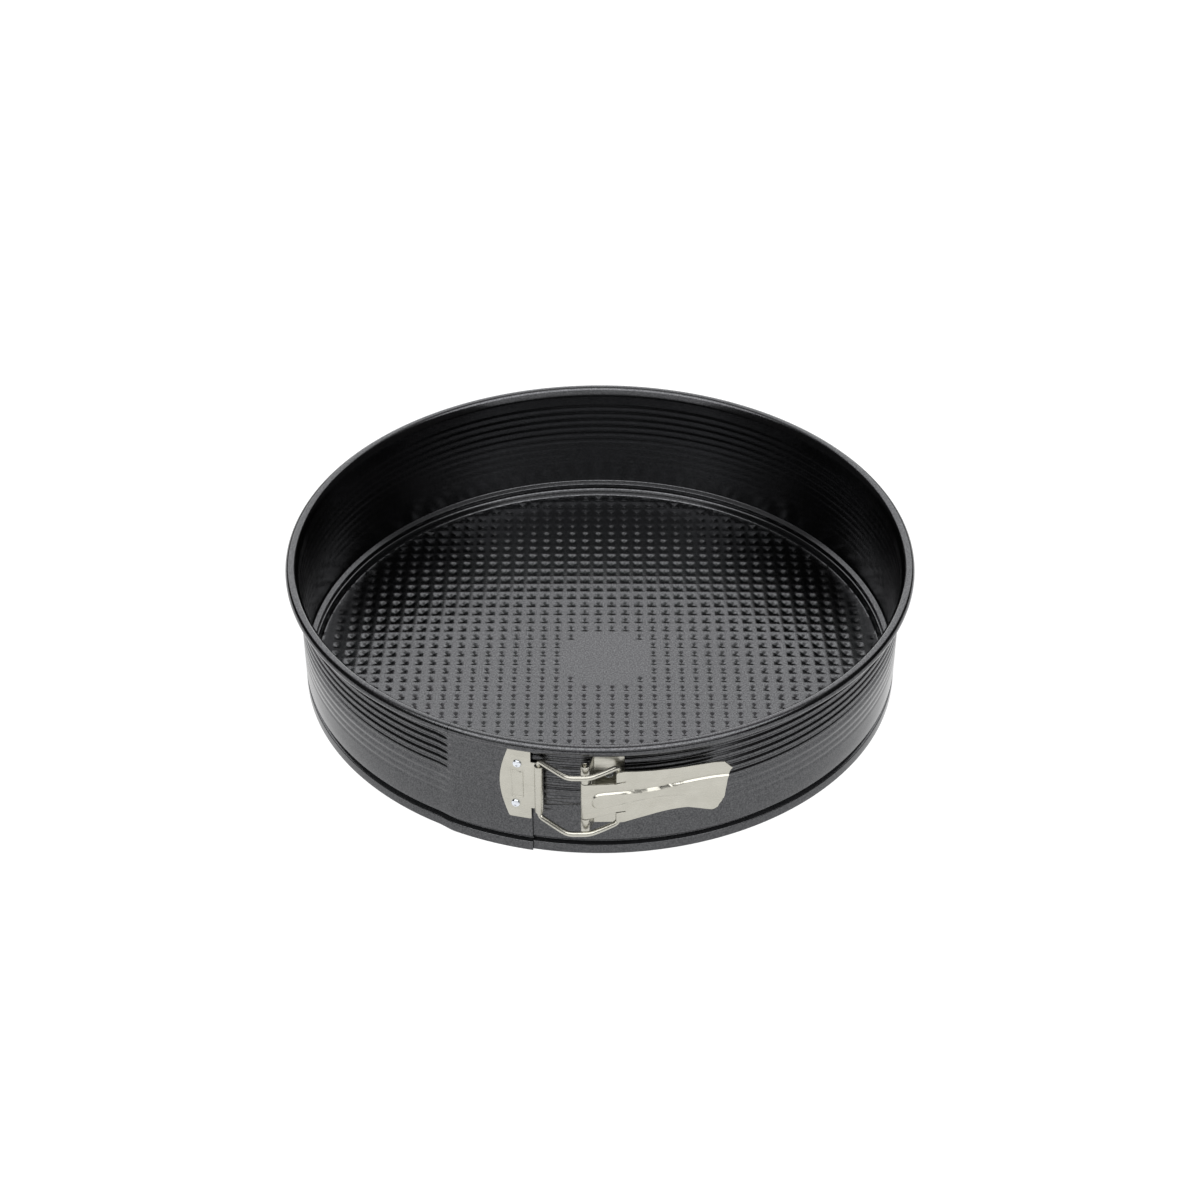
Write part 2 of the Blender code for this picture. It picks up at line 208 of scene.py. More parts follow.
# %% The nickel plate and the rivet steel
nickel, tree, shader, place = new_finish("nickel_plate", 1.0)
clouds = add_noise(tree, place, 160.0, 4.0)
cloud_colours = [(0.30, (0.47, 0.458, 0.405)), (0.70, (0.51, 0.498, 0.443))]
tree.links.new(add_ramp(tree, clouds, cloud_colours), shader.inputs["Base Color"])
streaks = add_noise(tree, place, 420.0, 3.0, (0.12, 0.5, 2.4))
tree.links.new(add_range(tree, streaks, 0.22, 0.36), shader.inputs["Roughness"])
add_bump(tree, shader, streaks, 0.05, 0.02 * MM)
print("nickel nodes:", len(tree.nodes))

rivet_steel, tree, shader, place = new_finish("rivet_steel", 1.0)
mottle = add_noise(tree, place, 700.0, 2.0)
mottle_colours = [(0.30, (0.66, 0.69, 0.74)), (0.70, (0.76, 0.79, 0.84))]
tree.links.new(add_ramp(tree, mottle, mottle_colours), shader.inputs["Base Color"])
tree.links.new(add_range(tree, add_noise(tree, place, 300.0, 2.0), 0.16, 0.26),
               shader.inputs["Roughness"])
print("rivet nodes:", len(tree.nodes))

# %% [markdown]
# ## Turning a bmesh into a piece
#
# Every piece ends the same way: its normals are pointed outwards, its shading is smooth
# except across sharp folds, and it takes over from its CAD node. A piece that is given a
# body rides on it.

# %% The last step of every piece
def fold_limit(edge):
    """Edges that fold by more than this many degrees are shaded as sharp."""
    return 38.0


def finish_piece(bm, name, node, finish, body=None, limit=fold_limit):
    """Close the bmesh off as the piece that stands for a CAD node."""
    bmesh.ops.recalc_face_normals(bm, faces=bm.faces)
    for face in bm.faces:
        face.smooth = True
    for edge in bm.edges:
        edge.smooth = edge.calc_face_angle(0.0) < math.radians(limit(edge))
    mesh = bpy.data.meshes.new(name)
    bm.to_mesh(mesh)
    bm.free()
    mesh.materials.append(finish)
    piece = bpy.data.objects.new(name, mesh)
    bpy.context.scene.collection.objects.link(piece)
    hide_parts(node)
    if body:
        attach(piece, body)
    print(f"{name}: {len(mesh.polygons)} faces")
    return piece


# %% [markdown]
# ## The band
#
# The band is one strip of sheet steel, rolled into a ring. From the ground up it has a
# plain skirt, a groove that grips the base, a wall with shallow ribs that stiffen it, and
# a rim that flares out and is rolled round into a tube. A lathe shape like this is drawn
# once, as a closed section, and then spun round the pan. A Screw modifier could spin it
# too, but the two halves end at different places, and the ends need faces of their own.
# The groove's corners are rounded with a vertex bevel, and the wall's long edges are
# subdivided so that the ribs can be pressed in.

# %% The band's section
GROOVE_R = SKIRT_R - 2.5 * MM
TONGUE_TOP_Z = 57.4 * MM
WALL_CUTS = 118
WALL_ENDS_Z = (14.0 * MM, 56.0 * MM)
BEAD_START = 218.0                   # where the rim's tube starts, in degrees up from outwards
BEAD_SWEEP = 292.0
BEAD_STEPS = 24


def band_corners():
    """Corners of the section as (radius, height, rounding), up the outside first."""
    outside = [(SKIRT_R, 0.0, 0.0), (SKIRT_R, 4.6 * MM, 0.3 * MM),
               (GROOVE_R, 5.2 * MM, 0.3 * MM), (GROOVE_R, 7.05 * MM, 0.3 * MM),
               (SKIRT_R, 7.9 * MM, 0.4 * MM), (SKIRT_R + 0.05 * MM, WALL_ENDS_Z[0], 0.0),
               (WALL_R, WALL_ENDS_Z[1], 0.0), (WALL_R + 0.03 * MM, TONGUE_TOP_Z, 0.0),
               (WALL_R + 0.45 * MM, 58.7 * MM, 0.0)]
    bead = []
    for step in range(BEAD_STEPS + 1):
        a = math.radians(BEAD_START + BEAD_SWEEP * step / BEAD_STEPS)
        bead.append((RIM_R + BEAD_R * math.cos(a), RIM_Z + BEAD_R * math.sin(a), 0.0))
    inside = [(WALL_R - 0.30 * MM, 60.9 * MM, 0.0), (WALL_R - 0.48 * MM, 60.3 * MM, 0.0),
              (WALL_R - 0.55 * MM, 59.6 * MM, 0.0)]
    inside += [(r - SHEET, z, soft) for r, z, soft in reversed(outside[:-1])]
    return outside + bead + inside


def section_loop(bm, corners, degrees):
    """A closed loop of edges at one angle, with its corners rounded."""
    out = direction(degrees)
    verts = [bm.verts.new(out * r + Vector((0, 0, z))) for r, z, _ in corners]
    face = bm.faces.new(verts)
    soft = {vert: corner[2] for vert, corner in zip(verts, corners) if corner[2]}
    for size in sorted(set(soft.values())):
        group = [vert for vert, value in soft.items() if value == size and vert.is_valid]
        bmesh.ops.bevel(bm, geom=group, offset=size, offset_type="OFFSET", segments=4,
                        profile=0.5, affect="VERTICES", material=-1, clamp_overlap=True)
    bmesh.ops.delete(bm, geom=list(bm.faces), context="FACES_ONLY")
    low, high = WALL_ENDS_Z
    walls = [edge for edge in bm.edges
             if {round(vert.co.z, 5) for vert in edge.verts} == {round(low, 5), round(high, 5)}]
    bmesh.ops.subdivide_edges(bm, edges=walls, cuts=WALL_CUTS)
    return walls


test = bmesh.new()
walls = section_loop(test, band_corners(), 180.0)
print(f"section: {len(test.verts)} corners, {len(walls)} wall edges, closed:",
      all(len(vert.link_edges) == 2 for vert in test.verts))
test.free()

# %% [markdown]
# The ribs are pressed in from the outside, so a wave takes a little off the radius.
# They are deep near the rim and fade out further down. The thick coating evens them out on
# the inside, so there they are shallower.

# %% Press the ribs
RIB_TOP_Z = 55.5 * MM
RIB_PITCH = 4.05 * MM
RIB_COUNT = 9
RIB_DEPTH = 0.9 * MM
RIB_WIDTH = 0.88                     # share of the pitch that a groove takes
INSIDE_SHARE = 0.4                   # the ribs stand out less on the inside
LOWEST_SHARE = 0.22                  # depth of the lowest ribs, as a share of the full one
FADE_Z = (26.0 * MM, 42.0 * MM)


def rib_depth(height):
    """How far the wall is pressed in at a height."""
    waves = (RIB_TOP_Z - height) / RIB_PITCH
    if not 0.0 < waves < RIB_COUNT:
        return 0.0
    from_middle = abs(waves % 1.0 - 0.5) / RIB_WIDTH
    wave = 0.5 + 0.5 * math.cos(math.tau * from_middle) if from_middle < 0.5 else 0.0
    strength = LOWEST_SHARE + (1.0 - LOWEST_SHARE) * smooth(*FADE_Z, height)
    return RIB_DEPTH * strength * wave


def wall_radius(height):
    """Outside radius of the plain wall at a height."""
    low, high = WALL_ENDS_Z
    return SKIRT_R + (WALL_R - SKIRT_R) * (height - low) / (high - low)


def press_ribs(bm, share_at):
    """Move the wall in at every rib, by a share that depends on the angle."""
    for vert in bm.verts:
        depth = rib_depth(vert.co.z)
        if depth:
            radius = vert.co.to_2d().length
            if radius < wall_radius(vert.co.z) - SHEET / 2:
                depth *= INSIDE_SHARE
            shrink = 1.0 - depth * share_at(degrees_from_front(vert.co)) / radius
            vert.co.x *= shrink
            vert.co.y *= shrink


print("rib depths:", [round(rib_depth(z * MM) / MM, 2) for z in range(20, 58, 3)])

# %% [markdown]
# Spinning the loop makes the ring. The right half is spun from the back to its end,
# which lies under the left half at the front. Its two ends are closed with a face.

# %% The right half of the band
STEP_DEGREES = 1.25
END_RIGHT = 26.22


def spin_on(bm, geom, here, there):
    """Spin edges round the pan from one angle to another, and return the new loop."""
    steps = max(1, round(abs(there - here) / STEP_DEGREES))
    return bmesh.ops.spin(bm, geom=geom, cent=(0, 0, 0), axis=(0, 0, -1),
                          angle=math.radians(there - here), steps=steps)["geom_last"]


right = bmesh.new()
section_loop(right, band_corners(), -180.0)
loop = [*right.verts, *right.edges]
first_edges = list(right.edges)
last = spin_on(right, loop, -180.0, END_RIGHT)
bmesh.ops.contextual_create(right, geom=first_edges)
bmesh.ops.contextual_create(right, geom=[g for g in last if isinstance(g, bmesh.types.BMEdge)])
press_ribs(right, lambda degrees: 1.0)
band_right = finish_piece(right, "band_right_sheet", "band_right", coating)

# %% [markdown]
# The left half is spun the other way. Near the front it steps out by a little more than
# the sheet's thickness, so that its end, the tongue, can slide over the right half. The
# tongue has no rolled rim, and its ribs were pressed flatter, so the spin stops at the
# rim's end and goes on with the wall alone.

# %% The left half of the band
RIM_END_LEFT = 26.3
JOGGLE = (30.6, 26.6)
TONGUE_END = 11.9
LAP = 1.05 * MM
TONGUE_RIBS = 0.2                    # depth of the tongue's ribs, as a share
TONGUE_RIBS_FADE = (26.9, 28.0)


def is_wall(vert):
    """True below the rim."""
    return vert.co.z < TONGUE_TOP_Z + 0.01 * MM


def step_out(bm):
    """Push the tongue out over the right half."""
    for vert in bm.verts:
        degrees = degrees_from_front(vert.co)
        if 0.0 < degrees < JOGGLE[0] + 0.1:
            share = 1.0 - smooth(JOGGLE[1], JOGGLE[0], degrees)
            share *= 1.0 - smooth(57.5 * MM, 59.4 * MM, vert.co.z)
            grow = 1.0 + LAP * share / vert.co.to_2d().length
            vert.co.x *= grow
            vert.co.y *= grow


def left_share(degrees):
    """The ribs' depth on the left half, which is less on the tongue."""
    if degrees <= 0.0:
        return 1.0
    return TONGUE_RIBS + (1.0 - TONGUE_RIBS) * smooth(*TONGUE_RIBS_FADE, degrees)


left = bmesh.new()
section_loop(left, band_corners(), 180.0)
loop = [*left.verts, *left.edges]
first_edges = list(left.edges)
here = 180.0
for there in (*JOGGLE, RIM_END_LEFT):
    if there == JOGGLE[1]:
        for part in range(1, 8):
            stop = JOGGLE[0] + (JOGGLE[1] - JOGGLE[0]) * part / 8
            loop = spin_on(left, loop, here, stop)
            here = stop
    loop = spin_on(left, loop, here, there)
    here = there
wall_verts = [g for g in loop if isinstance(g, bmesh.types.BMVert) and is_wall(g)]
all_edges = [g for g in loop if isinstance(g, bmesh.types.BMEdge)]
wall_edges = [edge for edge in all_edges if all(is_wall(vert) for vert in edge.verts)]
rim_edges = [edge for edge in all_edges if edge not in wall_edges]
top_two = sorted(wall_verts, key=lambda vert: -vert.co.z)[:2]
bridge = left.edges.new(top_two)
bmesh.ops.contextual_create(left, geom=[*rim_edges, bridge])
loop = spin_on(left, [*wall_verts, *wall_edges, bridge], RIM_END_LEFT, TONGUE_END)
bmesh.ops.contextual_create(left, geom=[g for g in loop if isinstance(g, bmesh.types.BMEdge)])
bmesh.ops.contextual_create(left, geom=first_edges)
press_ribs(left, left_share)
step_out(left)
band_left = finish_piece(left, "band_left_sheet", "band_left", coating)

# %% [markdown]
# The two halves are one springy strip on the real pan. When the latch opens, the strip
# flexes, most of all at the back. Here each half only has its placement baked into its mesh.


def flex(piece):
    """Bake the piece's placement into its mesh."""
    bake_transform(piece)


flex(band_right)
flex(band_left)

# %% [markdown]
# ## The base plate
#
# The base is a disc of the same sheet. Its field is embossed with a waffle of small
# square hollows, which let air under the cake, and its edge is raised in a bead and
# turned down. A plain field is left flat in the middle.
#
# The waffle starts as a fine grid. Its lines are pushed together and apart, so that each
# cell gets a thin net line, four gentle slopes, and four steeper ones that meet in a
# point. Every quad is then cut along its longer diagonal, where the folds of a pressed
# hollow lie. A displacement texture would need many more faces for folds this crisp.

# %% The waffle field
CELL = 6.72 * MM
CELLS = 44
NET_SHIFT = Vector((2.5 * MM, -4.0 * MM, 0.0))      # the pattern isn't quite centred
FIELD_TOP_Z = 1.4 * MM
FIELD_R = 136.7 * MM
EMBOSS = 0.82 * MM
EMBOSS_FADE = (FIELD_R - 3.4 * MM, FIELD_R - 1.0 * MM)
BLANK_HALF = 3.0                                    # half the blank field, in cells
BLANK_CORNER = 5.0                                  # cuts its corners off
BASE_SHEET = 0.5 * MM
LINES = (0.10, 0.21, 0.50, 0.79, 0.90)              # places of the lines in a cell
HOLLOWS = (0.0, 0.12, 1.0, 0.12, 0.0)               # how deep each line is pressed

base = bmesh.new()
half = CELL * CELLS / 2
bmesh.ops.create_grid(base, x_segments=5 * CELLS, y_segments=5 * CELLS, size=half)
for vert in base.verts:
    place_x = round((vert.co.x + half) / CELL * 5)
    place_y = round((vert.co.y + half) / CELL * 5)
    cell_x, line_x = divmod(place_x, 5)
    cell_y, line_y = divmod(place_y, 5)
    vert.co.x = (cell_x + LINES[line_x]) * CELL - half + NET_SHIFT.x
    vert.co.y = (cell_y + LINES[line_y]) * CELL - half + NET_SHIFT.y
    from_middle = (abs(cell_x - CELLS / 2 + 0.5), abs(cell_y - CELLS / 2 + 0.5))
    blank = max(from_middle) < BLANK_HALF and sum(from_middle) < BLANK_CORNER
    depth = 0.0 if blank else EMBOSS * min(HOLLOWS[line_x], HOLLOWS[line_y])
    depth *= 1.0 - smooth(*EMBOSS_FADE, vert.co.to_2d().length)
    vert.co.z = FIELD_TOP_Z - depth
outside = [face for face in base.faces if face.calc_center_median().to_2d().length > FIELD_R]
bmesh.ops.delete(base, geom=outside, context="FACES")
print(f"waffle: {len(base.faces)} faces after trimming to a disc")

# %% [markdown]
# The trimmed disc has a ragged edge, so its last points are drawn out to a true circle.
# The edge is then extruded ring by ring through the raised bead. Solidify gives the
# finished surface its thickness downwards, which repeats the waffle underneath.

# %% The base's raised edge
# Radius and height of each ring, in millimetres.
EDGE_RINGS = [(137.0, 1.7), (137.3, 2.2), (137.7, 3.2), (138.1, 4.1), (138.55, 4.55),
              (139.1, 4.7), (139.7, 4.6), (140.3, 4.15), (140.65, 3.6), (140.8, 2.9)]


def move_to_radius(vert, radius, height):
    """Keep a point's direction from the middle, and set the rest."""
    out = vert.co.to_2d().normalized()
    vert.co = Vector((out.x * radius, out.y * radius, height))


border = [edge for edge in base.edges if edge.is_boundary]
for vert in {vert for edge in border for vert in edge.verts}:
    move_to_radius(vert, FIELD_R, FIELD_TOP_Z)
for radius, height in EDGE_RINGS:
    grown = bmesh.ops.extrude_edge_only(base, edges=border)["geom"]
    border = [g for g in grown if isinstance(g, bmesh.types.BMEdge)]
    for vert in [g for g in grown if isinstance(g, bmesh.types.BMVert)]:
        move_to_radius(vert, radius * MM, height * MM)
flat_rings = [face for face in base.faces if len(face.verts) == 4]
bmesh.ops.triangulate(base, faces=flat_rings, quad_method="LONG_EDGE", ngon_method="BEAUTY")
bmesh.ops.dissolve_degenerate(base, dist=0.002 * MM, edges=base.edges)


def waffle_limit(edge):
    """The hollows' corner folds stay crisp, and the plate's rounded edge is smooth."""
    return 20.0 if edge.verts[0].co.to_2d().length < FIELD_R else 60.0


base_sheet = finish_piece(base, "base_sheet", "base_plate", coating, "base",
                          waffle_limit)
if base_sheet.data.polygons[0].normal.z < 0:
    base_sheet.data.flip_normals()
thick = base_sheet.modifiers.new("sheet", "SOLIDIFY")
thick.thickness = BASE_SHEET
thick.offset = -1.0
print(f"the base is {BASE_SHEET / MM} mm thick")

# %% [markdown]
# ## Folding sheet metal
#
# The catch plate, the bracket and the lever are all flat blanks that a press has folded
# and rolled, so they are made in the same order as in the factory. An outline is cut
# out, given its thickness, and its edges are softened with a bevel. It is then cut
# across at many stations, so that it can follow a path that bends and rolls. Bending
# with a Curve modifier would stretch the sheet at the tight rolls, and this doesn't.

# %% Cut a blank
def cut_blank(corners, thickness, roundings=()):
    """Extrude an outline of (along, height) corners and soften its edges."""
    bm = bmesh.new()
    verts = [bm.verts.new((along, height, -thickness / 2)) for along, height in corners]
    face = bm.faces.new(verts)
    for size, numbers in roundings:
        bmesh.ops.bevel(bm, geom=[verts[n] for n in numbers], offset=size,
                        offset_type="OFFSET", segments=5, profile=0.5, affect="VERTICES",
                        material=-1, clamp_overlap=True)
    faces = list(bm.faces)
    raised = bmesh.ops.extrude_face_region(bm, geom=faces)["geom"]
    tops = [g for g in raised if isinstance(g, bmesh.types.BMVert)]
    bmesh.ops.translate(bm, verts=tops, vec=(0, 0, thickness))
    rims = [edge for edge in bm.edges
            if abs(edge.verts[0].co.z - edge.verts[1].co.z) < 0.01 * MM]
    bmesh.ops.bevel(bm, geom=rims, offset=0.14 * MM, offset_type="OFFSET", segments=2,
                    profile=0.5, affect="EDGES", material=-1, clamp_overlap=True)
    return bm


def cut_across(bm, axis, stations):
    """Cut the blank at each station, so that it can bend there."""
    normal = Vector((0, 0, 0))
    normal[axis] = 1.0
    for station in stations:
        bmesh.ops.bisect_plane(bm, geom=[*bm.verts, *bm.edges, *bm.faces],
                               dist=0.0005 * MM, plane_co=normal * station, plane_no=normal)


test = cut_blank([(0, 0), (9 * MM, 0), (9 * MM, 4 * MM), (0, 4 * MM)], PLATE)
whole = len(test.faces)
cut_across(test, 0, [3 * MM, 6 * MM])
print(f"a plain blank has {whole} faces, and {len(test.faces)} after two cuts across")
test.free()

# %% [markdown]
# A path is a list of points in plan. An arc adds points round a centre, and the helper
# that folds the blank finds where each of its points lies along the path, and steps
# off sideways for its depth in the sheet.

# %% Fold a blank along a path
def arc(centre, radius, start, end, steps):
    """Points round a centre from one angle to another, in degrees from +X."""
    points = []
    for step in range(steps + 1):
        a = math.radians(start + (end - start) * step / steps)
        points.append(Vector((centre.x + radius * math.cos(a),
                              centre.y + radius * math.sin(a), 0.0)))
    return points


def path_lengths(path):
    """How far along the path each of its points lies."""
    lengths = [0.0]
    for here, there in zip(path[:-1], path[1:]):
        lengths.append(lengths[-1] + (there - here).length)
    return lengths


def side_at(path, number):
    """The left-hand side of the path at one of its points."""
    before = path[max(number - 1, 0)]
    after = path[min(number + 1, len(path) - 1)]
    ahead = (after - before).normalized()
    return Vector((-ahead.y, ahead.x, 0.0))


def fold(bm, path):
    """Lay a flat blank of (along, height, depth) points on a path."""
    lengths = path_lengths(path)
    for vert in bm.verts:
        along, height, depth = vert.co
        number = max(n for n in range(len(path) - 1) if lengths[n] <= max(along, 0.0) + 1e-9)
        share = (along - lengths[number]) / (lengths[number + 1] - lengths[number])
        place = path[number].lerp(path[number + 1], share)
        side = side_at(path, number).lerp(side_at(path, number + 1), min(max(share, 0), 1))
        vert.co = place + side.normalized() * depth + Vector((0, 0, height))


quarter = arc(Vector((0, 0, 0)), 10 * MM, 0.0, 90.0, 24)
print(f"a quarter turn of 10 mm radius is {path_lengths(quarter)[-1] / MM:.2f} mm long")

# %% [markdown]
# ## The catch plate
#
# This plate is riveted to the tongue. Its outer edge bulges, and the middle of its inner
# edge is rolled back over the wire of the bail, like half of a door hinge. A shallow
# rectangle is pressed between the rivets.

# %% The catch plate
CATCH = Vector((*joints["bail_swing"]["pos_m"][:2], 0.0))
PLATE_LOW = catch_low.z
PLATE_HIGH = catch_high.z
CATCH_R = WALL_R + LAP + 0.2 * MM + PLATE / 2       # middle of the plate's thickness
CATCH_ROLL_H = 26.0 * MM
PLATE_START = 18.2                                  # degrees, past the bulge of its edge
PLATE_EDGE = 15.9                                   # degrees, at its corners
BULGE = 1.6                                         # degrees
ROLL_SWEEP = 300.0                                  # how far a plate's edge is rolled
plate_path = [direction(PLATE_START - 0.3 * step) * CATCH_R for step in range(26)]
roll_at = degrees_from_front(CATCH)
plate_path += [direction(roll_at) * CATCH_R]
inward = math.degrees(math.atan2(-CATCH.y, -CATCH.x))
plate_path += arc(CATCH, CATCH.length - CATCH_R, inward, inward - ROLL_SWEEP, 26)[1:]
plate_end = path_lengths(plate_path)[-1]


def along_plate(degrees):
    """Length along the plate's path at an angle round the pan."""
    return math.radians(PLATE_START - degrees) * CATCH_R


corners = []
for step in range(13):
    bulge = BULGE * math.sin(math.pi * step / 12)
    height = PLATE_HIGH + (PLATE_LOW - PLATE_HIGH) * step / 12
    corners.append((along_plate(PLATE_EDGE + bulge), height))
inner_edge = along_plate(TONGUE_END)
roll_low, roll_high = LATCH_Z - CATCH_ROLL_H / 2, LATCH_Z + CATCH_ROLL_H / 2
corners += [(inner_edge, PLATE_LOW), (inner_edge, roll_low), (plate_end, roll_low),
            (plate_end, roll_high), (inner_edge, roll_high), (inner_edge, PLATE_HIGH)]
plate = cut_blank(corners, PLATE, [(0.7 * MM, (0, 12, 13, 18)), (0.5 * MM, (15, 16))])
print(f"the blank is {plate_end / MM:.1f} mm long and {(PLATE_HIGH - PLATE_LOW) / MM:.1f} mm high")

# %% [markdown]
# The rectangle is a shallow line that a punch pressed into the outside. It is pressed
# before the blank is folded, as in the factory, because on a flat blank its place and
# its depth are plain numbers.

# %% Press a rectangle into the catch plate and fold it
FRAME_DEPTH = 0.28 * MM
FRAME_ALONG = (along_plate(15.3), along_plate(13.4))
FRAME_HEIGHT = (LATCH_Z - 7.1 * MM, LATCH_Z + 7.1 * MM)
FRAME_LINE = (-0.5 * MM, -0.15 * MM, 0.15 * MM, 0.5 * MM)
stations = [line + place for place in FRAME_ALONG for line in FRAME_LINE]
levels = [line + place for place in FRAME_HEIGHT for line in FRAME_LINE]
bends = [inner_edge * step / 8 for step in range(1, 9)]
bends += [inner_edge + (plate_end - inner_edge) * step / 28 for step in range(1, 28)]
cut_across(plate, 0, stations + bends)
cut_across(plate, 1, levels)


def from_frame(along, height):
    """Distance from the outline of the pressed rectangle."""
    (a0, a1), (h0, h1) = FRAME_ALONG, FRAME_HEIGHT
    sideways = abs(along - (a0 + a1) / 2) - (a1 - a0) / 2
    upwards = abs(height - (h0 + h1) / 2) - (h1 - h0) / 2
    return abs(max(sideways, upwards))


for vert in plate.verts:
    if vert.co.z < 0:
        line = 1.0 - smooth(0.15 * MM, 0.5 * MM, from_frame(vert.co.x, vert.co.y))
        vert.co.z += FRAME_DEPTH * line
fold(plate, plate_path)
finish_piece(plate, "catch_plate_sheet", "catch_plate", nickel, "ring_left")

# %% [markdown]
# ## The bracket
#
# The bracket's foot is riveted to the right half. At its left edge it is folded outwards
# into a wing, and the wing ends in two rolls that hold the lever's pin, with a window
# between them for the lever's own roll. All of that is one path with one blank on it, so
# the sheet keeps its thickness through every bend.

# %% The bracket
BRACKET_R = WALL_R + 0.3 * MM + PLATE / 2
BRACKET_ROLL_R = 1.7 * MM
WING_X = 3.0 * MM                    # left of the front, where the wing is folded out
TOE_X = 10.6 * MM                    # right of the front, where the foot ends


def soften_path(points, size, steps=4):
    """Round the corners of a path with a short curve."""
    soft = [points[0]]
    for before, here, after in zip(points[:-2], points[1:-1], points[2:]):
        start = here + (before - here).normalized() * min(size, (before - here).length * 0.45)
        end = here + (after - here).normalized() * min(size, (after - here).length * 0.45)
        for step in range(steps + 1):
            t = step / steps
            soft.append(start.lerp(here, t).lerp(here.lerp(end, t), t))
    return [*soft, points[-1]]


wing_corner = direction(math.degrees(WING_X / BRACKET_R)) * BRACKET_R
toe = -math.degrees(TOE_X / BRACKET_R)
foot_path = [direction(toe + (0.8 - toe) * step / 8) * BRACKET_R for step in range(8)]
roll_start = PIVOT + Vector((BRACKET_ROLL_R, 0, 0))
bracket_path = soften_path([*foot_path, wing_corner, roll_start], 1.1 * MM)
bracket_path += arc(PIVOT, BRACKET_ROLL_R, 0.0, -ROLL_SWEEP, 26)[1:]
lengths = path_lengths(bracket_path)
bracket_end = lengths[-1]
roll_from = bracket_end - BRACKET_ROLL_R * math.radians(ROLL_SWEEP)
WINDOW = 10.0 * MM                   # half the height of the window
wing_open = roll_from - 5.2 * MM
corners = [(0, PLATE_LOW), (bracket_end, PLATE_LOW), (bracket_end, LATCH_Z - WINDOW),
           (wing_open, LATCH_Z - WINDOW), (wing_open, LATCH_Z + WINDOW),
           (bracket_end, LATCH_Z + WINDOW), (bracket_end, PLATE_HIGH), (0, PLATE_HIGH)]
bracket = cut_blank(corners, PLATE, [(2.4 * MM, (0, 7)), (0.6 * MM, (3, 4))])
cut_across(bracket, 0, lengths[1:-1])
fold(bracket, bracket_path)
finish_piece(bracket, "bracket_sheet", "latch_bracket", nickel, "ring_right")

# %% [markdown]
# ## The pin
#
# The lever turns on a plain steel pin with rounded ends. A cylinder with a bevel round
# each end is all that it needs.

# %% The pin
PIN_R = (pin_high.x - pin_low.x) / 2
pin = bmesh.new()
bmesh.ops.create_cone(pin, cap_ends=True, segments=32, radius1=PIN_R, radius2=PIN_R,
                      depth=pin_high.z - pin_low.z,
                      matrix=Matrix.Translation((PIVOT.x, PIVOT.y, LATCH_Z)))
ends = [edge for edge in pin.edges if abs(edge.verts[0].co.z - edge.verts[1].co.z) < 0.01 * MM]
bmesh.ops.bevel(pin, geom=ends, offset=0.45 * MM, offset_type="OFFSET", segments=4,
                profile=0.5, affect="EDGES", material=-1)
finish_piece(pin, "pin_rod", "pivot_pin", nickel, "ring_right")

# %% [markdown]
# ## The bail
#
# The bail is one piece of round wire. Its middle stands in the catch plate's roll, its
# two arms bow out round the lever's pin, and its ends turn towards each other behind
# the lever's ears. A curve with a round bevel is the quickest wire, and becomes a mesh.

# %% The bail
WIRE_R = 1.2 * MM
ARM_RISE = 15.8 * MM
HOOK = Vector((7.9 * MM, -147.25 * MM, 0.0))
ARM_PLAN = [(-16.8, -152.2), (-13.4, -154.9), (-4.6, -154.9), (1.6, -151.4)]


def bail_route():
    """One arm, from the middle of the leg to the end of the hook."""
    rise = Vector((0, 0, ARM_RISE))
    arm = [CATCH + rise, *(Vector((x * MM, y * MM, 0)) + rise for x, y in ARM_PLAN), HOOK + rise]
    return soften_path([CATCH, *arm, HOOK + rise * 0.6], 2.6 * MM, 8)


upper = bail_route()
lower = [Vector((p.x, p.y, -p.z)) for p in upper]
route = [*reversed(upper), *lower[1:]]
curve = bpy.data.curves.new("bail_wire_line", "CURVE")
curve.dimensions = "3D"
curve.bevel_depth = WIRE_R
curve.bevel_resolution = 6
curve.use_fill_caps = True
spline = curve.splines.new("POLY")
spline.points.add(len(route) - 1)
for slot, point in zip(spline.points, route):
    slot.co = (point.x, point.y, LATCH_Z + point.z, 1.0)
line = bpy.data.objects.new("bail_wire_line", curve)
bpy.context.scene.collection.objects.link(line)
bpy.context.view_layer.update()
shaped = line.evaluated_get(bpy.context.evaluated_depsgraph_get())
wire_mesh = bpy.data.meshes.new_from_object(shaped)
wire = bmesh.new()
wire.from_mesh(wire_mesh)
bmesh.ops.remove_doubles(wire, verts=wire.verts, dist=0.001 * MM)
bpy.data.objects.remove(line)
bpy.data.meshes.remove(wire_mesh)
finish_piece(wire, "bail_wire", "bail", nickel, "bail")

# %% [markdown]
# ## The lever
#
# The lever is a long blank. Its narrow end is rolled round the pin, two slits part its
# ears from its neck, and a rib is pressed along its middle, which widens towards the
# tip, so that the thin sheet doesn't bend when the latch is pulled.

# %% The lever's path and outline
LEVER_ROLL_R = 1.65 * MM
LEVER_ROLL_SWEEP = 290.0
LEVER_ROLL_END = -78.0                              # where the roll runs out into the face
FACE_PLAN = [(1.6, -150.45), (11.1, -148.25), (21.5, -145.75), (29.6, -143.55),
             (38.0, -141.95), (48.7, -141.05), (57.4, -141.05)]
curl = arc(PIVOT, LEVER_ROLL_R, LEVER_ROLL_END - LEVER_ROLL_SWEEP, LEVER_ROLL_END, 26)
face_path = soften_path([curl[-1], *(Vector((x * MM, y * MM, 0)) for x, y in FACE_PLAN)],
                        3.5 * MM, 6)
lever_path = [*curl, *face_path[1:]]
lengths = path_lengths(lever_path)
CURL_LENGTH = lengths[len(curl) - 1]


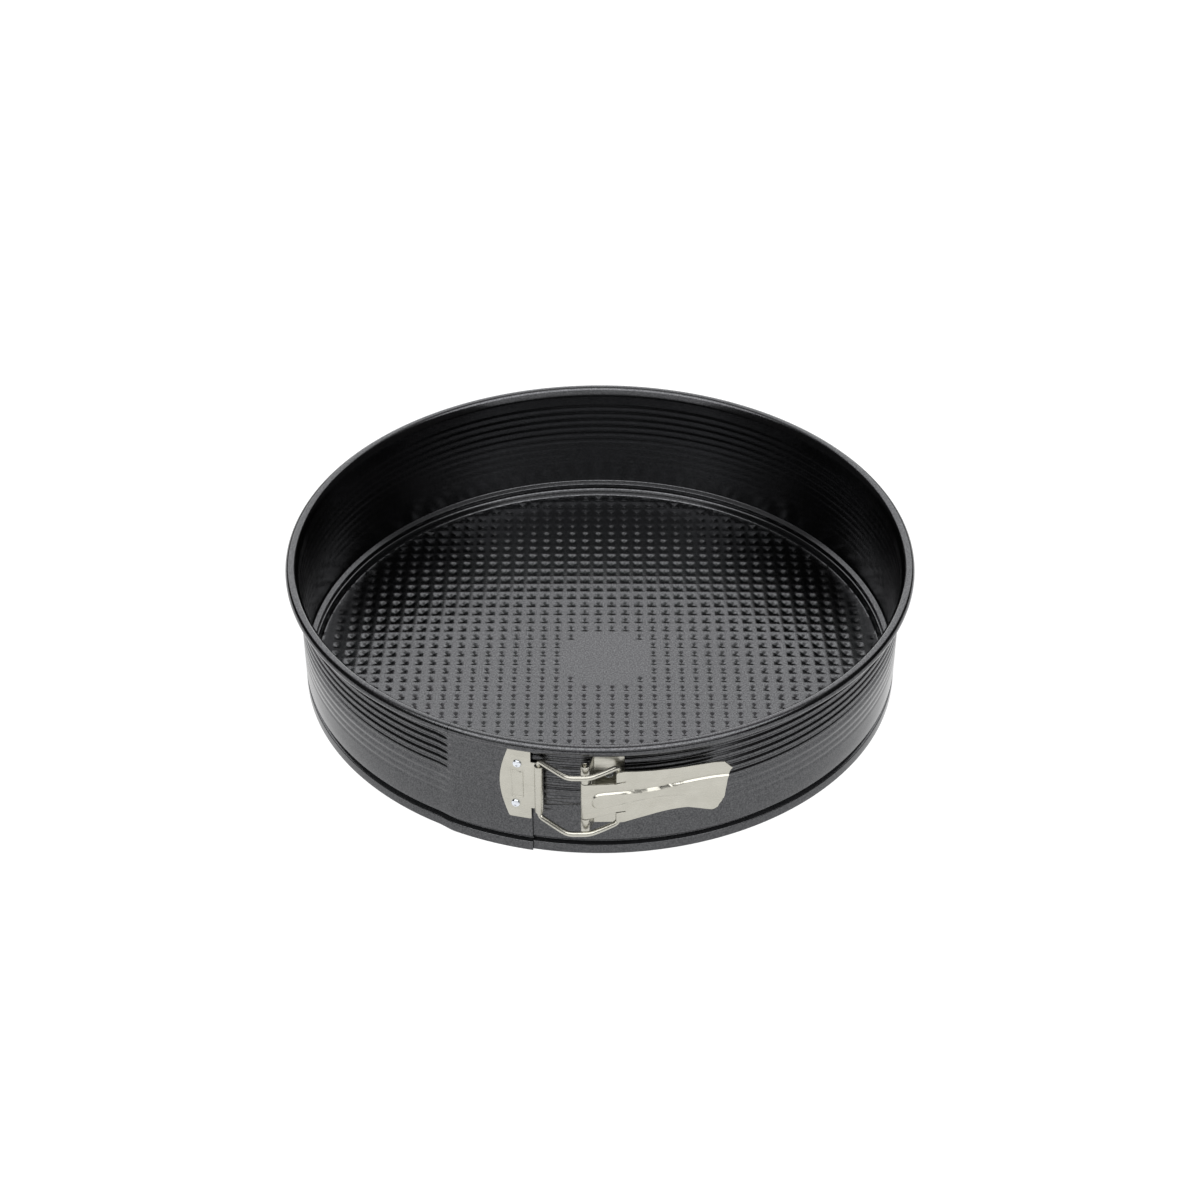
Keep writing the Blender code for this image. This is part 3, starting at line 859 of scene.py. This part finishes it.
def along_lever(x):
    """Length along the path at a place to the right of the pin."""
    for number in range(len(curl) - 1, len(lever_path) - 1):
        here, there = lever_path[number].x, lever_path[number + 1].x
        if here <= x * MM <= there:
            return lengths[number] + (x * MM - here) / (there - here) * (
                lengths[number + 1] - lengths[number])
    return lengths[-1]


NECK = 9.66                                         # half the height of the roll
UPPER = [(5.9, 8.1), (6.1, 7.7), (10.9, 7.7), (10.9, 8.3), (6.9, 8.3), (6.9, 14.0),
         (10.5, 14.2), (16.0, 13.2), (24.0, 12.2), (34.0, 11.4), (42.0, 12.4),
         (49.0, 13.4), (53.4, 13.7), (57.0, 9.9)]
LOWER = [(51.2, -11.8), (49.0, -13.5), (46.0, -13.0), (38.0, -11.2), (32.0, -11.2),
         (24.0, -12.0), (16.0, -13.2), (10.5, -14.2), (6.9, -14.0), (6.9, -8.3),
         (10.9, -8.3), (10.9, -7.7), (6.1, -7.7), (5.9, -8.1)]
corners = [(0.0, LATCH_Z + NECK * MM), (CURL_LENGTH, LATCH_Z + NECK * MM)]
corners += [(along_lever(x), LATCH_Z + h * MM) for x, h in [*UPPER, *LOWER]]
corners += [(CURL_LENGTH, LATCH_Z - NECK * MM), (0.0, LATCH_Z - NECK * MM)]
lever = cut_blank(corners, LEVER_SHEET,
                  [(0.9 * MM, (7, 8, 15, 17, 23, 24)), (5.0 * MM, (11, 20))])
print(f"lever: roll {CURL_LENGTH / MM:.1f} mm, blank {lengths[-1] / MM:.1f} mm long")

# %% [markdown]
# The rib is a smooth push outwards. Its half width is read off a short table, and the
# push fades over the rounding at its edge. The blank is cut finely first, so that the
# rib's edge stays crisp.

# %% Press the rib and fold the lever
RIB_WIDTHS = [(-10.0, 4.2), (1.0, 4.15), (8.0, 3.6), (15.0, 3.0), (21.0, 2.75), (26.0, 2.85),
              (30.0, 3.15), (34.0, 3.65), (38.0, 4.3), (48.7, 6.1), (60.0, 7.6)]
RIB_START = -3.6
RIB_CORNER = 3.4
RIB_RAISE = 1.0 * MM


def between(table, value):
    """Read a value off a table of (place, value) pairs."""
    for (x0, w0), (x1, w1) in zip(table[:-1], table[1:]):
        if value <= x1:
            return w0 + (w1 - w0) * (value - x0) / (x1 - x0)
    return table[-1][1]


def inside_rib(x, height, width):
    """How far a point lies inside the rib, whose start is a rounded end."""
    past_start = RIB_START + RIB_CORNER - x
    past_side = abs(height) - (width - RIB_CORNER)
    if past_start > 0.0 and past_side > 0.0:
        return RIB_CORNER - math.hypot(past_start, past_side)
    return min(width - abs(height), x - RIB_START)


total = lengths[-1]
start_along = along_lever(RIB_START)
stations = [CURL_LENGTH * step / 28 for step in range(1, 29)]
stations += [start_along + (step * 0.2 - 0.4) * MM for step in range(26)]
stations += [CURL_LENGTH + (total - CURL_LENGTH) * step / 60 for step in range(7, 60)]
ROW = 4.0                            # the cuts about this height slide to the rib's edge
rows = [ROW - 1.5 + 0.15 * step for step in range(17)]
rows += [0.6, 1.2, 1.8, 5.5, 6.3, 7.1, 9.0, 10.0, 11.0, 12.0, 13.0]
cut_across(lever, 0, stations)
cut_across(lever, 1, [LATCH_Z + side * row * MM for side in (-1, 1) for row in rows])
x_along = [(lengths[n], lever_path[n].x / MM) for n in range(len(curl) - 1, len(lever_path))]
for vert in lever.verts:
    if vert.co.x < CURL_LENGTH:
        continue
    x = between(x_along, vert.co.x)
    height = (vert.co.y - LATCH_Z) / MM
    width = between(RIB_WIDTHS, x)
    slide = smooth(0.0, 2.2, abs(height)) * (1.0 - smooth(5.0, 11.5, abs(height)))
    height += math.copysign((width - ROW) * slide, height)
    vert.co.y = LATCH_Z + height * MM
    vert.co.z -= RIB_RAISE * smooth(-0.15, 0.7, inside_rib(x, height, width))
fold(lever, lever_path)
finish_piece(lever, "lever_sheet", "latch_lever", nickel, "lever")

# %% [markdown]
# ## The rivets
#
# Each rivet has a low head with a shallow dish, left by the tool that set it. A rivet is
# a turned shape, so half of its section is spun all the way round and then laid
# against the plate. The bracket's rivets show a flat tail inside the pan. The catch
# plate's end flush, because the tongue slides over the right half.

# %% The rivets
HEAD = [(0.0, 0.50), (0.55, 0.53), (0.95, 0.68), (1.2, 0.84), (1.45, 0.86), (1.7, 0.72),
        (1.9, 0.48), (2.0, 0.2), (2.0, -0.02)]
SHANK_R = 1.1 * MM
TAIL_R = 1.7 * MM


def make_rivet(name, body, plate_outside, tail_inside):
    """A rivet between two radii, at the place of its CAD node."""
    low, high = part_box(name)
    middle = (low + high) / 2
    degrees = degrees_from_front(middle)
    outline = [(r * MM, plate_outside + h * MM) for r, h in HEAD]
    outline += [(SHANK_R, outline[-1][1]), (SHANK_R, tail_inside)]
    if body == "ring_right":
        outline += [(TAIL_R, tail_inside), (TAIL_R, tail_inside - 0.3 * MM),
                    (TAIL_R - 0.3 * MM, tail_inside - 0.45 * MM),
                    (0.0, tail_inside - 0.45 * MM)]
    else:
        outline += [(0.0, tail_inside)]
    bm = bmesh.new()
    verts = [bm.verts.new((r, 0.0, h)) for r, h in outline]
    edges = [bm.edges.new(pair) for pair in zip(verts[:-1], verts[1:])]
    bmesh.ops.spin(bm, geom=[*verts, *edges], cent=(0, 0, 0), axis=(0, 0, 1),
                   angle=math.tau, steps=36, use_merge=True)
    bmesh.ops.remove_doubles(bm, verts=bm.verts, dist=0.01 * MM)
    turn = Vector((0, 0, 1)).rotation_difference(direction(degrees)).to_matrix().to_4x4()
    bmesh.ops.transform(bm, matrix=Matrix.Translation((0, 0, middle.z)) @ turn, verts=bm.verts)
    return finish_piece(bm, f"{name}_turned", name, rivet_steel, body)


for level in ("upper", "lower"):
    make_rivet(f"catch_rivet_{level}", "ring_left", CATCH_R + PLATE / 2, WALL_R + 0.6 * MM)
    make_rivet(f"bracket_rivet_{level}", "ring_right", BRACKET_R + PLATE / 2,
               SKIRT_R - SHEET - 0.2 * MM)

# %% [markdown]
# ## The studio
#
# The pan stands on a plain pale floor that runs out past the picture on every side. Its
# paint is matt and glows a little, so it stays an even white however the lights are set,
# and its reflection gives the band's wall an even grey.

# %% The floor
FLOOR_R = 6.0
floor_finish, tree, shader, place = new_finish("floor_paint", 0.0)
paint = add_noise(tree, place, 3.0, 2.0)
tree.links.new(add_ramp(tree, paint, [(0.3, (0.24, 0.24, 0.24)), (0.7, (0.26, 0.26, 0.26))]),
               shader.inputs["Base Color"])
shader.inputs["Roughness"].default_value = 0.9
shader.inputs["Emission Color"].default_value = (1.0, 1.0, 1.0, 1.0)
shader.inputs["Emission Strength"].default_value = 0.85
floor_bm = bmesh.new()
bmesh.ops.create_circle(floor_bm, cap_ends=True, radius=FLOOR_R, segments=64)
floor_mesh = bpy.data.meshes.new("floor")
floor_bm.to_mesh(floor_mesh)
floor_bm.free()
floor_mesh.materials.append(floor_finish)
floor = bpy.data.objects.new("floor", floor_mesh)
bpy.context.scene.collection.objects.link(floor)
print(f"floor {2 * FLOOR_R:.0f} m across")

# %% [markdown]
# ## The lights
#
# Dark, shiny metal is drawn by what it reflects, so the lights are large soft panels, and
# each one is placed for the surface that mirrors it. The back panels light the flat of
# the base. The middle one is dim, and turns the far slopes of the hollows darker than the
# flat. The top one draws bright lines along the wire, the lever's rib and the base's
# edge. The front one gives the rim its soft grey band. It starts well above the floor, so
# the upward sides of the ribs mirror the dark between the two, and turn black.

# %% The lights
def add_panel(name, place, aim, width, depth, power):
    """A soft rectangular light that faces a point."""
    lamp = bpy.data.lights.new(name, "AREA")
    lamp.shape = "RECTANGLE"
    lamp.size = width
    lamp.size_y = depth
    lamp.energy = power
    panel = bpy.data.objects.new(name, lamp)
    panel.location = place
    facing = Vector(aim) - Vector(place)
    panel.rotation_euler = facing.to_track_quat("-Z", "Y").to_euler()
    bpy.context.scene.collection.objects.link(panel)
    return panel


add_panel("back_panel", (0.0, 2.0, 1.7), (0.0, 0.0, 0.0), 4.6, 2.0, 55.0)
add_panel("low_back_panel", (0.0, 2.7, 0.45), (0.0, 0.0, 0.1), 2.0, 0.6, 10.0)
add_panel("middle_panel", (0.0, 0.6, 2.3), (0.0, 0.3, 0.0), 3.6, 1.3, 6.5)
add_panel("top_panel", (0.0, -1.0, 2.1), (0.0, -0.4, 0.0), 4.2, 1.6, 57.0)
add_panel("front_panel", (0.0, -2.2, 1.6), (0.0, 0.0, 0.1), 4.6, 1.9, 24.0)
world = bpy.data.worlds.new("studio")
bpy.context.scene.world = world
world.use_nodes = True
world.node_tree.nodes["Background"].inputs["Color"].default_value = (1.0, 1.0, 1.0, 1.0)
world.node_tree.nodes["Background"].inputs["Strength"].default_value = 0.04
bpy.context.scene.view_settings.view_transform = "Standard"

# %% [markdown]
# ## The camera
#
# The camera looks down at the latch from the front, about 37 degrees above the floor.
# It stands well back with a long lens, so the rim hardly tapers.

# %% The camera
camera = bpy.data.cameras.new("camera")
camera.lens = 72.03
camera.sensor_width = 36.0
camera.clip_start = 0.05
viewer = bpy.data.objects.new("camera", camera)
viewer.location = (0.0, -0.9241, 0.7199)
viewer.rotation_euler = (math.radians(53.39), 0.0, 0.0)
bpy.context.scene.collection.objects.link(viewer)
bpy.context.scene.camera = viewer
print(f"camera at {viewer.location.length:.2f} m, lens {camera.lens} mm")

# %% [markdown]
# ## Finish
#
# The last step brings the scene up to date. The finished pieces must stay in the CAD
# model's box, give or take a little.

# %% Finish
bpy.context.view_layer.update()
